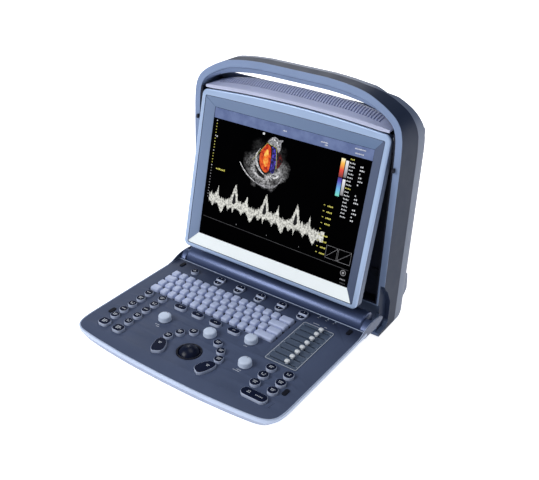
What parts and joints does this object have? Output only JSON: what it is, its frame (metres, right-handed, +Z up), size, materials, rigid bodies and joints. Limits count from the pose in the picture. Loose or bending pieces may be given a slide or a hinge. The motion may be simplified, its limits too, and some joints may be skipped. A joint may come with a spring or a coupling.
{
  "type": "portable ultrasound scanner",
  "caption": "Upright portable ultrasound scanner: case with carrying handle, tilting flat display and a control deck that folds up over the display as a lid.",
  "frame": {"origin": "on the table, under the middle of the whole footprint with the control deck open", "axes": "+Z up, +Y from the deck's front edge towards the back of the case, +X to the right of someone using it"},
  "size_m": [0.395, 0.452, 0.4245],
  "materials": {
    "frame_grey": "satin mid grey-blue moulding",
    "case_grey": "satin grey-violet moulding",
    "pale_blue": "satin pale blue-silver paint",
    "navy_plastic": "dark navy moulding",
    "violet_grey": "satin violet-grey moulding",
    "key_grey": "soft-touch light grey-violet keys",
    "knob_grey": "satin light grey",
    "slate": "fine-textured dark slate blue",
    "dark_rubber": "matt dark rubber",
    "screen_black": "glossy dark display front",
    "steel": "brushed",
    "circuit_green": "circuit board",
    "ball_navy": "polished dark navy ball"
  },
  "bodies": {
    "case": {"front_frame": "frame_grey", "rear_case": "case_grey", "recess_housing": "navy_plastic", "vent_hood": "violet_grey", "main_board": "circuit_green", "power_supply": "steel", "fan_frame": "navy_plastic", "probe_socket_block": "navy_plastic", "display_buffer_left": "dark_rubber", "base_foot_left": "dark_rubber", "cover_catch_left": "pale_blue", "display_buffer_right": "dark_rubber", "base_foot_right": "dark_rubber", "cover_catch_right": "pale_blue"},
    "display": {"display_bezel": "pale_blue", "display_rear_cover": "case_grey", "lcd_module": "screen_black", "display_pivot_left": "steel", "display_pivot_right": "steel"},
    "deck": {"deck_panel": "slate", "deck_bottom_shell": "pale_blue", "deck_hinge_barrel": "case_grey", "deck_pivot_left": "steel", "deck_pivot_right": "steel", "deck_foot_left": "dark_rubber", "deck_foot_right": "dark_rubber", "trackball_cup": "dark_rubber", "slider_plate": "slate", "status_lights": "knob_grey", "cover_pad_front_left": "dark_rubber", "cover_pad_front_right": "dark_rubber", "cover_pad_rear_left": "dark_rubber", "cover_pad_rear_right": "dark_rubber", "keyboard": "key_grey", "mode_keypad": "key_grey", "function_keypad": "key_grey", "right_keypad": "key_grey"},
    "fan": {"fan_rotor": "navy_plastic"},
    "ball": {"trackball": "ball_navy"},
    "knob_1": {"rotary_knob_1": "knob_grey"},
    "knob_2": {"rotary_knob_2": "knob_grey"},
    "knob_3": {"rotary_knob_3": "knob_grey"},
    "knob_4": {"rotary_knob_4": "knob_grey"},
    "slider_1": {"gain_slider_1": "knob_grey"},
    "slider_2": {"gain_slider_2": "knob_grey"},
    "slider_3": {"gain_slider_3": "knob_grey"},
    "slider_4": {"gain_slider_4": "knob_grey"},
    "slider_5": {"gain_slider_5": "knob_grey"},
    "slider_6": {"gain_slider_6": "knob_grey"},
    "slider_7": {"gain_slider_7": "knob_grey"},
    "slider_8": {"gain_slider_8": "knob_grey"},
    "freeze_key_body": {"freeze_key": "key_grey"},
    "thumb_key_left_body": {"thumb_key_left": "key_grey"},
    "thumb_key_right_body": {"thumb_key_right": "key_grey"},
    "power_button_body": {"power_button": "key_grey"},
    "rocker_1": {"soft_rocker_1": "key_grey"},
    "rocker_2": {"soft_rocker_2": "key_grey"},
    "rocker_3": {"soft_rocker_3": "key_grey"},
    "rocker_4": {"soft_rocker_4": "key_grey"},
    "rocker_5": {"soft_rocker_5": "key_grey"}
  },
  "joints": [
    {"name": "deck_fold", "type": "hinge", "parent": "case", "child": "deck", "pos_m": [0, 0.077, 0.032], "axis": [-1, 0, 0], "range_deg": [0, 90]},
    {"name": "display_tilt", "type": "hinge", "parent": "case", "child": "display", "pos_m": [0, 0.11161, 0.35096], "axis": [1, 0, 0], "range_deg": [0, 12]},
    {"name": "fan_spin", "type": "hinge", "parent": "case", "child": "fan", "pos_m": [0.105, 0.1885, 0.215], "axis": [0, 1, 0], "continuous": true},
    {"name": "trackball_roll", "type": "hinge", "parent": "deck", "child": "ball", "pos_m": [0, -0.158, 0.032], "axis": [1, 0, 0], "continuous": true},
    {"name": "knob_1_turn", "type": "hinge", "parent": "deck", "child": "knob_1", "pos_m": [-0.0854, -0.1164, 0.047], "axis": [0, 0, 1], "continuous": true},
    {"name": "knob_2_turn", "type": "hinge", "parent": "deck", "child": "knob_2", "pos_m": [-0.0007, -0.1058, 0.047], "axis": [0, 0, 1], "continuous": true},
    {"name": "knob_3_turn", "type": "hinge", "parent": "deck", "child": "knob_3", "pos_m": [0.0611, -0.08, 0.047], "axis": [0, 0, 1], "continuous": true},
    {"name": "knob_4_turn", "type": "hinge", "parent": "deck", "child": "knob_4", "pos_m": [0.0876, -0.1327, 0.047], "axis": [0, 0, 1], "continuous": true},
    {"name": "gain_1_slide", "type": "slide", "parent": "deck", "child": "slider_1", "axis": [1, 0, 0], "range_m": [-0.0285, 0.0125]},
    {"name": "gain_2_slide", "type": "slide", "parent": "deck", "child": "slider_2", "axis": [1, 0, 0], "range_m": [-0.0285, 0.0125]},
    {"name": "gain_3_slide", "type": "slide", "parent": "deck", "child": "slider_3", "axis": [1, 0, 0], "range_m": [-0.0285, 0.0125]},
    {"name": "gain_4_slide", "type": "slide", "parent": "deck", "child": "slider_4", "axis": [1, 0, 0], "range_m": [-0.0285, 0.0125]},
    {"name": "gain_5_slide", "type": "slide", "parent": "deck", "child": "slider_5", "axis": [1, 0, 0], "range_m": [-0.0285, 0.0125]},
    {"name": "gain_6_slide", "type": "slide", "parent": "deck", "child": "slider_6", "axis": [1, 0, 0], "range_m": [-0.0285, 0.0125]},
    {"name": "gain_7_slide", "type": "slide", "parent": "deck", "child": "slider_7", "axis": [1, 0, 0], "range_m": [-0.0285, 0.0125]},
    {"name": "gain_8_slide", "type": "slide", "parent": "deck", "child": "slider_8", "axis": [1, 0, 0], "range_m": [-0.0285, 0.0125]},
    {"name": "freeze_press", "type": "slide", "parent": "deck", "child": "freeze_key_body", "axis": [0, 0, -1], "range_m": [0, 0.0012], "stiffness_N_per_m": 400, "springref_m": -0.0006},
    {"name": "thumb_left_press", "type": "slide", "parent": "deck", "child": "thumb_key_left_body", "axis": [0, 0, -1], "range_m": [0, 0.0012], "stiffness_N_per_m": 400, "springref_m": -0.0006},
    {"name": "thumb_right_press", "type": "slide", "parent": "deck", "child": "thumb_key_right_body", "axis": [0, 0, -1], "range_m": [0, 0.0012], "stiffness_N_per_m": 400, "springref_m": -0.0006},
    {"name": "power_press", "type": "slide", "parent": "deck", "child": "power_button_body", "axis": [0, 0, -1], "range_m": [0, 0.0012], "stiffness_N_per_m": 400, "springref_m": -0.0006},
    {"name": "rocker_1_tip", "type": "hinge", "parent": "deck", "child": "rocker_1", "pos_m": [-0.084, 0.0275, 0.039], "axis": [1, 0, 0], "range_deg": [-4, 4], "stiffness_Nm_per_rad": 0.1},
    {"name": "rocker_2_tip", "type": "hinge", "parent": "deck", "child": "rocker_2", "pos_m": [-0.0408, 0.0275, 0.039], "axis": [1, 0, 0], "range_deg": [-4, 4], "stiffness_Nm_per_rad": 0.1},
    {"name": "rocker_3_tip", "type": "hinge", "parent": "deck", "child": "rocker_3", "pos_m": [0.0024, 0.0275, 0.039], "axis": [1, 0, 0], "range_deg": [-4, 4], "stiffness_Nm_per_rad": 0.1},
    {"name": "rocker_4_tip", "type": "hinge", "parent": "deck", "child": "rocker_4", "pos_m": [0.0456, 0.0275, 0.039], "axis": [1, 0, 0], "range_deg": [-4, 4], "stiffness_Nm_per_rad": 0.1},
    {"name": "rocker_5_tip", "type": "hinge", "parent": "deck", "child": "rocker_5", "pos_m": [0.0888, 0.0275, 0.039], "axis": [1, 0, 0], "range_deg": [-4, 4], "stiffness_Nm_per_rad": 0.1}
  ],
  "couplings": [
    {"joint": "display_tilt", "follows": "deck_fold", "ratio": 0.1333}
  ]
}
